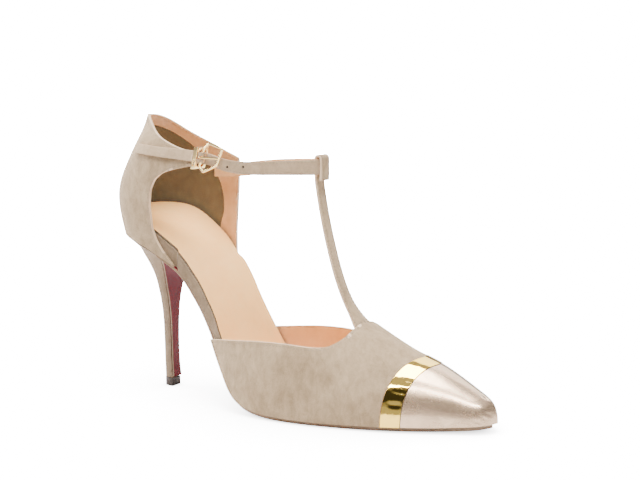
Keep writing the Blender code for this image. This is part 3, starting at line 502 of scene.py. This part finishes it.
threadLook = dict(edgeLook, light=(0.330, 0.235, 0.145, 1), deep=(0.220, 0.150, 0.088, 1))
# near-black for the insides of the strap's holes: painted shade
holeShadeLook = dict(tipLook, light=(0.070, 0.045, 0.030, 1))
# dark brown for the sock's side faces, and painted shadow on the band's front rim
cutEdgeAndShadowLook = dict(edgeLook, light=(0.180, 0.110, 0.062, 1), deep=(0.110, 0.064, 0.034, 1))
strapEdgeLook = dict(edgeLook, light=(0.560, 0.385, 0.235, 1), deep=(0.360, 0.235, 0.135, 1))

sockLeather = makeLeather("sockLeather", sockLook)
edgeLeather = makeLeather("edgeLeather", edgeLook)
strapEdge = makeLeather("strapEdge", strapEdgeLook)
soleRed = makeLeather("soleRed", soleLook)
soleEdge = makeLeather("soleEdge", soleEdgeLook)
tipRubber = makeLeather("tipRubber", tipLook)
threadCotton = makeLeather("threadCotton", threadLook)
holeShade = makeLeather("holeShade", holeShadeLook)
cutEdgeAndShadow = makeLeather("cutEdgeAndShadow", cutEdgeAndShadowLook)
liningLeather = makeLeather("liningLeather", liningLook)
vampLining = makeLeather("vampLining", vampLiningLook)

gripLook = {
    "light": (0.175, 0.122, 0.052, 1), "deep": (0.122, 0.083, 0.034, 1),
    "patches": 0.5, "flecks": 0.3,
    # where the panel ends towards the toe, at each height
    "heights": (0.060, 0.0885, 0.099, 0.1177, 0.135, 0.150),
    "ends": (0.0155, 0.0184, 0.0203, 0.0152, 0.000, -0.018),
    # the curve's lowest value and its span, then the widths of the panel's edge and of its seam
    "curveFrom": -0.03, "curveSpan": 0.06, "edgeWidth": 0.0004, "seamWidth": 0.0005,
    "grainHeight": 0.3, "seamHeight": 2.0, "bumpDepth": 0.0001, "bumpStrength": 0.5,
}


def makeQuarterLining(name, look):
    # Peach leather with the darker heel grip panel set into the back of it.
    material, nodes, links, shader = newMaterial(name)
    vector = objectVector(nodes)
    grain = placeGroup(nodes, links, leatherGrain, vector, {
        "Light": liningLook["light"], "Deep": liningLook["deep"], "Pores": liningLook["pores"],
        "Smoothest": liningLook["smoothest"], "Roughest": liningLook["roughest"]})
    nap = placeGroup(nodes, links, suedeNap, vector, {
        "Light": look["light"], "Deep": look["deep"], "Patches": look["patches"], "Flecks": look["flecks"]})
    parts = nodes.new("ShaderNodeSeparateXYZ")
    links.new(vector, parts.inputs[0])
    low, high = look["heights"][0], look["heights"][-1]
    curve = nodes.new("ShaderNodeFloatCurve")
    border = curve.mapping.curves[0]
    start, span = look["curveFrom"], look["curveSpan"]
    for number, (height, end) in enumerate(zip(look["heights"], look["ends"])):
        place = ((height - low) / (high - low), (end - start) / span)
        # a new curve has two points already
        if number < 2:
            border.points[number].location = place
        else:
            border.points.new(*place)
    curve.mapping.update()
    links.new(addRange(nodes, links, parts.outputs["Z"], low, high), curve.inputs["Value"])
    limit = addMath(nodes, links, "ADD", addMath(nodes, links, "MULTIPLY", curve.outputs[0], span), start)
    gap = addMath(nodes, links, "SUBTRACT", limit, parts.outputs["X"])
    mask = addRange(nodes, links, gap, 0.0, look["edgeWidth"])
    distance = addMath(nodes, links, "ABSOLUTE", gap, None)
    seam = addRange(nodes, links, distance, 0.0, look["seamWidth"], 1.0, 0.0)
    links.new(addMix(nodes, links, mask, grain.outputs["Color"], nap.outputs["Color"]),
              shader.inputs["Base Color"])
    roughness = nodes.new("ShaderNodeMix")
    links.new(mask, roughness.inputs[0])
    links.new(grain.outputs["Roughness"], roughness.inputs[2])
    links.new(nap.outputs["Roughness"], roughness.inputs[3])
    links.new(roughness.outputs[0], shader.inputs["Roughness"])
    height = addMath(nodes, links, "SUBTRACT",
                     addMath(nodes, links, "MULTIPLY", grain.outputs["Height"], look["grainHeight"]),
                     addMath(nodes, links, "MULTIPLY", seam, look["seamHeight"]))
    wireBump(nodes, links, shader, height, look["bumpDepth"], look["bumpStrength"])
    return material


quarterLining = makeQuarterLining("quarterLining", gripLook)

pearlLook = {
    "light": (0.760, 0.535, 0.350, 1), "deep": (0.390, 0.250, 0.145, 1), "metallic": 0.78,
    "stretch": (0.35, 1.0, 1.0), "wrinkleScale": 160.0, "poreScale": 1900.0, "streakShare": 0.55,
    "roughness": (0.20, 0.31), "streakHeight": 0.7, "poreHeight": 0.3,
    "bumpDepth": 0.00012, "bumpStrength": 0.30, "coat": 0.45, "coatRoughness": 0.12,
}


def makePearl(name, look):
    # Champagne leather under a pearly film: soft streaks, pores and a smooth coat.
    material, nodes, links, shader = newMaterial(name)
    vector = objectVector(nodes)
    stretched = nodes.new("ShaderNodeMapping")
    stretched.inputs["Scale"].default_value = look["stretch"]
    links.new(vector, stretched.inputs["Vector"])
    streakNoise = addNoise(nodes, links, stretched.outputs[0], look["wrinkleScale"], 4, 0.6, 0.6)
    streaks = addRange(nodes, links, streakNoise, 0.3, 0.7)
    pores = addNoise(nodes, links, vector, look["poreScale"], 3, 0.6)
    amount = addMath(nodes, links, "MULTIPLY", streaks, look["streakShare"])
    links.new(addMix(nodes, links, amount, look["light"], look["deep"]), shader.inputs["Base Color"])
    links.new(addRange(nodes, links, streaks, 0.0, 1.0, *look["roughness"]), shader.inputs["Roughness"])
    height = addMath(nodes, links, "ADD",
                     addMath(nodes, links, "MULTIPLY", streaks, look["streakHeight"]),
                     addMath(nodes, links, "MULTIPLY", pores, look["poreHeight"]))
    wireBump(nodes, links, shader, height, look["bumpDepth"], look["bumpStrength"])
    setSockets(shader, {"Metallic": look["metallic"], "Coat Weight": look["coat"],
                        "Coat Roughness": look["coatRoughness"]})
    return material


foilLook = {"color": (1.0, 0.680, 0.150, 1), "roughness": (0.05, 0.13),
            "waveScale": 190, "waveDepth": 0.00025}
buckleLook = {"color": (1.0, 0.740, 0.330, 1), "roughness": (0.08, 0.20),
              "waveScale": 400, "waveDepth": 0.00003}
# how much darker and redder the scuffed gold is, and how much of it shows
scuffLook = {"scale": 900, "tone": (0.86, 0.82, 0.74), "share": 0.35}


def makeGold(name, look):
    # Plated or foiled gold with hairline scuffs and a faint waviness.
    material, nodes, links, shader = newMaterial(name)
    vector = objectVector(nodes)
    scuffNoise = addNoise(nodes, links, vector, scuffLook["scale"], 5, 0.7, 1.2)
    scuffs = addRange(nodes, links, scuffNoise, 0.45, 0.75)
    waves = addNoise(nodes, links, vector, look["waveScale"], 2, 0.4, 0.3)
    worn = tuple(value * share for value, share in zip(look["color"], scuffLook["tone"])) + (1,)
    amount = addMath(nodes, links, "MULTIPLY", scuffs, scuffLook["share"])
    links.new(addMix(nodes, links, amount, look["color"], worn), shader.inputs["Base Color"])
    links.new(addRange(nodes, links, scuffs, 0.0, 1.0, *look["roughness"]), shader.inputs["Roughness"])
    wireBump(nodes, links, shader, waves, look["waveDepth"], 0.5)
    setSockets(shader, {"Metallic": 1.0})
    return material


pearlLeather = makePearl("pearlLeather", pearlLook)
goldFoil = makeGold("goldFoil", foilLook)
buckleGold = makeGold("buckleGold", buckleLook)
print("finishes are ready")

# camera, floor and lights

cameraPlace = {"location": (0.43965, -0.57766, 0.17732), "pitch": 7.57, "turn": 30.71, "focal": 1317.18}
bpy.ops.object.select_all(action="DESELECT")
bpy.ops.object.camera_add(location=cameraPlace["location"], rotation=(
    math.radians(90 - cameraPlace["pitch"]), 0, math.radians(cameraPlace["turn"])))
camera = bpy.context.object
camera.data.sensor_fit = "HORIZONTAL"
camera.data.sensor_width = 36
camera.data.lens = cameraPlace["focal"] / 640 * 36
bpy.context.scene.camera = camera

lights = {
    "keyLeft": {"place": (-1.25, -0.02, 0.60), "aim": (0.04, 0, 0.06), "size": (0.7, 0.7), "energy": 40.0},
    "overhead": {"place": (0.16, -0.12, 1.25), "aim": (0.10, 0, 0.03), "size": (0.8, 0.8), "energy": 50.0},
    "backTop": {"place": (0.00, 0.85, 0.80), "aim": (0.06, 0, 0.06), "size": (0.8, 0.8), "energy": 8.0},
    # this strip draws the bright line along the toe cap and lights nothing else
    "strip": {"place": (0.66, -0.70, 0.96), "aim": (0.17, 0, 0.02), "size": (1.0, 0.11), "energy": 17.0,
              "shineOnly": True},
}
for name, look in lights.items():
    bpy.ops.object.light_add(type="AREA", location=look["place"])
    light = bpy.context.object
    light.name = name
    light.data.shape = "RECTANGLE"
    light.data.size, light.data.size_y = look["size"]
    light.data.energy = look["energy"]
    light.visible_diffuse = not look.get("shineOnly", False)
    direction = Vector(look["aim"]) - Vector(look["place"])
    light.rotation_euler = direction.to_track_quat("-Z", "Y").to_euler()

backdropLook = {
    "radius": 5.0, "paper": (0.90, 0.885, 0.885, 1),
    # how white the floor is seen near the shoe and far off, and over which distances it changes
    "near": 13.0, "far": 40.0, "fadeStart": 0.15, "fadeEnd": 0.9,
    # reach of the contact shadow and how much white is left in it
    "contact": 0.05, "contactWhite": 0.12,
    "horizonLight": 0.05, "skyLight": 0.66, "air": (1.0, 0.995, 0.99, 1),
    # sines of the heights between which the studio turns bright, above the horizon and at it
    "skyStart": 0.58, "skyEnd": 0.78, "paperStart": 0.16, "paperEnd": 0.27,
}
bpy.ops.mesh.primitive_circle_add(vertices=96, radius=backdropLook["radius"], fill_type="NGON",
                                  location=(0, 0, 0))
floor = bpy.context.object
floor.name = "floor"
floorMaterial, nodes, links, shader = newMaterial("floorPaper")
setSockets(shader, {"Base Color": backdropLook["paper"], "Roughness": 0.75, "Specular IOR Level": 0.1,
                    "Emission Color": (1, 1, 1, 1)})
distanceNode = nodes.new("ShaderNodeVectorMath")
distanceNode.operation = "LENGTH"
links.new(objectVector(nodes), distanceNode.inputs[0])
whiteness = addRange(nodes, links, distanceNode.outputs["Value"], backdropLook["fadeStart"],
                     backdropLook["fadeEnd"], backdropLook["near"], backdropLook["far"])
seen = nodes.new("ShaderNodeLightPath").outputs["Is Camera Ray"]
closeness = nodes.new("ShaderNodeAmbientOcclusion")
closeness.inputs["Distance"].default_value = backdropLook["contact"]
openness = addRange(nodes, links, closeness.outputs["AO"], 0.0, 1.0, backdropLook["contactWhite"], 1.0)
shaded = addMath(nodes, links, "MULTIPLY", whiteness, openness)
links.new(addMath(nodes, links, "MULTIPLY", shaded, seen), shader.inputs["Emission Strength"])
floor.data.materials.append(floorMaterial)

world = bpy.data.worlds.new("studio")
bpy.context.scene.world = world
world.use_nodes = True
nodes, links = world.node_tree.nodes, world.node_tree.links
background = nodes["Background"]
background.inputs["Color"].default_value = backdropLook["air"]
# The studio is bright overhead and dim lower down, which gives the pearl and the gold their contrast.
# Just above the horizon only reflections see it bright, as they would see the paper there.
direction = nodes.new("ShaderNodeSeparateXYZ")
links.new(nodes.new("ShaderNodeTexCoord").outputs["Generated"], direction.inputs[0])
rays = nodes.new("ShaderNodeLightPath").outputs
height = direction.outputs["Z"]
above = addRange(nodes, links, height, backdropLook["skyStart"], backdropLook["skyEnd"])
paper = addRange(nodes, links, height, backdropLook["paperStart"], backdropLook["paperEnd"], 1.0, 0.0)
below = addMath(nodes, links, "MULTIPLY", paper, rays["Is Glossy Ray"])
studio = addRange(nodes, links, addMath(nodes, links, "ADD", above, below), 0.0, 1.0,
                  backdropLook["horizonLight"], backdropLook["skyLight"])
seen = rays["Is Camera Ray"]
strength = nodes.new("ShaderNodeMix")
links.new(seen, strength.inputs[0])
links.new(studio, strength.inputs[2])
strength.inputs[3].default_value = backdropLook["far"]
links.new(strength.outputs[0], background.inputs["Strength"])
print("camera, lights and floor are ready")

# upper

vampLook = {
    "wall": 0.0042, "edgeRound": 0.00022, "levels": 2,
    # start, end, reach and depth of each fold pressed into the suede
    "folds": [
        ((0.1230, -0.0300, 0.0230), (0.1180, -0.0120, 0.0400), 0.0032, 0.00022),
        ((0.1330, -0.0310, 0.0170), (0.1270, -0.0190, 0.0330), 0.0028, 0.00018),
        ((0.1120, -0.0340, 0.0140), (0.1080, -0.0330, 0.0270), 0.0036, 0.00020),
        ((0.1420, -0.0270, 0.0120), (0.1390, -0.0170, 0.0300), 0.0026, -0.00012),
        ((0.0700, -0.0345, 0.0100), (0.0740, -0.0350, 0.0280), 0.0040, 0.00022),
        ((0.1180, 0.0300, 0.0230), (0.1150, 0.0120, 0.0400), 0.0032, 0.00022),
        ((0.1330, 0.0290, 0.0170), (0.1270, 0.0170, 0.0330), 0.0028, 0.00018),
        ((0.0800, 0.0360, 0.0120), (0.0860, 0.0360, 0.0300), 0.0040, 0.00020),
    ],
    "strapStarts": 0.052, "loopStarts": 0.1205, "loopForward": 0.0988, "loopHeight": 0.1258,
    # how far behind and below the T-strap its inside lies, and the same for the toe part
    "behindStrap": 0.05, "belowStrap": 0.025, "behindToe": 0.004, "toeSpread": 0.2, "toeHeight": 0.010,
    "stitchLow": 0.024, "stitchFront": 0.140,
}
stitchLook = {"inset": 0.0013, "pitch": 0.0019, "length": 0.00125, "thread": 0.00030, "lift": 0.00002}


def vampHeart(place):
    # A point the vamp's outer faces look away from.
    if place.z > vampLook["loopStarts"]:
        return Vector((vampLook["loopForward"], place.y, min(place.z, vampLook["loopHeight"])))
    if place.z > vampLook["strapStarts"]:
        return Vector((place.x - vampLook["behindStrap"], place.y, place.z - vampLook["belowStrap"]))
    return Vector((place.x - vampLook["behindToe"], place.y * vampLook["toeSpread"], vampLook["toeHeight"]))


vampPiece = copyOfNode("vamp", "vamp_suede", [upperSuede, vampLining, edgeLeather])
sortWallFaces(vampPiece, vampHeart, vampLook["wall"])
roundAndSmooth(vampPiece, vampLook["edgeRound"], vampLook["levels"])
for start, end, reach, depth in vampLook["folds"]:
    pressFold(vampPiece, start, end, reach, depth)
rideAndSlot(vampPiece)
vampStitches = sewLine("vamp_stitches", vampPiece, stitchLook,
                       lambda p: p.z > vampLook["stitchLow"] and p.x < vampLook["stitchFront"],
                       material=threadCotton)
rideAndSlot(vampStitches)
print("vamp and T-strap are ready")

quarterLook = {"wall": 0.0030, "edgeRound": 0.00025, "levels": 2, "heartForward": 0.006, "stitchLow": 0.088}


def quarterHeart(place):
    return Vector((quarterLook["heartForward"], 0.0, place.z))


quarterPiece = copyOfNode("quarter", "quarter_suede", [upperSuede, quarterLining, edgeLeather])
sortWallFaces(quarterPiece, quarterHeart, quarterLook["wall"])
roundAndSmooth(quarterPiece, quarterLook["edgeRound"], quarterLook["levels"])
rideAndSlot(quarterPiece)
quarterStitches = sewLine("quarter_stitches", quarterPiece, stitchLook,
                          lambda p: p.z > quarterLook["stitchLow"], material=threadCotton)
rideAndSlot(quarterStitches)
print("quarter is ready")

capLook = {
    "edgeRound": 0.00012, "levels": 2,
    "pleats": [
        ((0.1925, -0.0060, 0.0120), (0.1945, -0.0020, 0.0085), 0.0009, 0.00022),
        ((0.1905, -0.0085, 0.0105), (0.1945, -0.0035, 0.0060), 0.0009, 0.00020),
        ((0.1880, -0.0100, 0.0080), (0.1935, -0.0055, 0.0050), 0.0010, 0.00018),
        ((0.1925, 0.0060, 0.0120), (0.1945, 0.0020, 0.0085), 0.0009, 0.00022),
        ((0.1890, 0.0090, 0.0090), (0.1940, 0.0045, 0.0055), 0.0010, 0.00018),
        ((0.1650, -0.0175, 0.0150), (0.1850, -0.0090, 0.0120), 0.0022, 0.00014),
        ((0.1650, 0.0165, 0.0150), (0.1850, 0.0085, 0.0120), 0.0022, 0.00014),
    ],
}
capPiece = copyOfNode("toe_cap", "toe_cap_pearl", [pearlLeather])
roundAndSmooth(capPiece, capLook["edgeRound"], capLook["levels"])
for start, end, reach, depth in capLook["pleats"]:
    pressFold(capPiece, start, end, reach, depth)
rideAndSlot(capPiece)

bandLook = {
    "edgeRound": 0.00010, "levels": 3, "frontRim": 0.78,
    "ripples": [
        ((0.1500, -0.0222, 0.0200), (0.1580, -0.0200, 0.0190), 0.0010, 0.00020),
        ((0.1515, -0.0200, 0.0228), (0.1590, -0.0178, 0.0215), 0.0009, -0.00012),
        ((0.1525, -0.0180, 0.0250), (0.1605, -0.0155, 0.0238), 0.0010, 0.00016),
        ((0.1535, -0.0145, 0.0272), (0.1620, -0.0120, 0.0262), 0.0011, 0.00022),
        ((0.1545, -0.0105, 0.0292), (0.1625, -0.0085, 0.0280), 0.0009, 0.00012),
        ((0.1490, -0.0252, 0.0140), (0.1565, -0.0228, 0.0135), 0.0016, 0.00022),
        ((0.1535, 0.0145, 0.0272), (0.1620, 0.0120, 0.0262), 0.0011, 0.00020),
        ((0.1500, 0.0222, 0.0200), (0.1580, 0.0200, 0.0190), 0.0010, 0.00018),
    ],
}
bandPiece = copyOfNode("toe_band", "toe_band_gold", [goldFoil, cutEdgeAndShadow])
# the band's forward-facing rim is painted dark as the shadow line its front edge casts on the toe cap
for polygon in bandPiece.data.polygons:
    if polygon.normal.x > bandLook["frontRim"]:
        polygon.material_index = 1
roundAndSmooth(bandPiece, bandLook["edgeRound"], bandLook["levels"])
for start, end, reach, depth in bandLook["ripples"]:
    pressFold(bandPiece, start, end, reach, depth)
rideAndSlot(bandPiece)
print("toe cap and band are ready")

# sole, heel and insole

soleShape = {"wall": 0.0034, "edgeRound": 0.0003, "levels": 2, "heartBack": 0.02, "heartUp": 0.02}


def soleHeart(place):
    return Vector((place.x - soleShape["heartBack"], place.y, place.z + soleShape["heartUp"]))


solePiece = copyOfNode("outsole", "outsole_red", [soleRed, soleRed, soleEdge])
sortWallFaces(solePiece, soleHeart, soleShape["wall"])
roundAndSmooth(solePiece, soleShape["edgeRound"], soleShape["levels"])
rideAndSlot(solePiece)

heelShape = {"edgeRound": 0.0007, "levels": 2}
heelPiece = copyOfNode("heel", "heel_suede_cover", [shadedSuede])
roundAndSmooth(heelPiece, heelShape["edgeRound"], heelShape["levels"], sharpAngle=40)
rideAndSlot(heelPiece)

tipShape = {"edgeRound": 0.00035, "levels": 2}
tipPiece = copyOfNode("heel_tip", "heel_tip_cap", [tipRubber])
roundAndSmooth(tipPiece, tipShape["edgeRound"], tipShape["levels"], sharpAngle=40)
rideAndSlot(tipPiece)

boardShape = {"edgeRound": 0.0008, "levels": 2}
boardPiece = copyOfNode("insole_board", "insole_board_wrapped", [shadedSuede])
roundAndSmooth(boardPiece, boardShape["edgeRound"], boardShape["levels"], sharpAngle=40)
rideAndSlot(boardPiece)

sockShape = {"edgeRound": 0.0002, "levels": 2, "steep": 0.35}
sockPiece = copyOfNode("insole_sock", "insole_sock_leather", [sockLeather, cutEdgeAndShadow])
for polygon in sockPiece.data.polygons:
    if abs(polygon.normal.z) < sockShape["steep"]:
        polygon.material_index = 1
roundAndSmooth(sockPiece, sockShape["edgeRound"], sockShape["levels"], sharpAngle=40)
rideAndSlot(sockPiece)
print("sole, heel and insole are ready")

# straps and buckle

strapShape = {
    "wall": 0.0022, "edgeRound": 0.00018, "levels": 2,
    "holes": [(0.0549, -0.0231, 0.1255), (0.0642, -0.0222, 0.1258)],
    "holeRadius": 0.00062, "holeDepth": 0.0009, "holeIndex": 3, "ankleForward": 0.045,
}
strapStitchLook = dict(stitchLook, inset=0.0011, pitch=0.0018, length=0.0011, thread=0.00024)


def strapHeart(place):
    # The ankle the strap goes round, so that its outer faces look away from it.
    return Vector((strapShape["ankleForward"], 0.0, place.z))


def punchHole(piece, place, radius, depth):
    # A blind round hole with its walls and bottom painted near-black as the shade inside it, square to the
    # strap's face.
    found, normal, index, distance = treeOf(piece, {0}).find_nearest(Vector(place))
    deselectAll()
    bpy.ops.mesh.primitive_cylinder_add(vertices=20, radius=radius, depth=depth * 2)
    punch = bpy.context.object
    for material in piece.data.materials:
        punch.data.materials.append(material)
    for polygon in punch.data.polygons:
        polygon.material_index = strapShape["holeIndex"]
    turn = normal.to_track_quat("Z", "Y").to_matrix().to_4x4()
    punch.data.transform(Matrix.Translation(found) @ turn)
    applyModifier(piece, "BOOLEAN", object=punch, operation="DIFFERENCE", solver="EXACT")
    bpy.data.objects.remove(punch)


anklePiece = copyOfNode("ankle_strap", "ankle_strap_suede",
                        [strapSuede, liningLeather, strapEdge, holeShade])
sortWallFaces(anklePiece, strapHeart, strapShape["wall"])
roundAndSmooth(anklePiece, strapShape["edgeRound"], strapShape["levels"])
ankleStitches = sewLine("ankle_strap_stitches", anklePiece, strapStitchLook, lambda p: p.x > 0.0,
                        material=threadCotton)
for place in strapShape["holes"]:
    punchHole(anklePiece, place, strapShape["holeRadius"], strapShape["holeDepth"])
rideAndSlot(anklePiece)
rideAndSlot(ankleStitches)

buckleStrapPiece = copyOfNode("buckle_strap", "buckle_strap_suede", [strapSuede, liningLeather, strapEdge])
sortWallFaces(buckleStrapPiece, strapHeart, strapShape["wall"])
roundAndSmooth(buckleStrapPiece, strapShape["edgeRound"], strapShape["levels"])
rideAndSlot(buckleStrapPiece)

metalShape = {"levels": 2}
for nodeName, pieceName, edgeRound in (("buckle_frame", "buckle_frame_gold", 0.0),
                                       ("buckle_prong", "buckle_prong_gold", 0.0),
                                       ("keeper", "keeper_gold", 0.0002)):
    metalPiece = copyOfNode(nodeName, pieceName, [buckleGold])
    roundAndSmooth(metalPiece, edgeRound, metalShape["levels"], sharpAngle=40)
    rideAndSlot(metalPiece)
print("straps and buckle are ready")
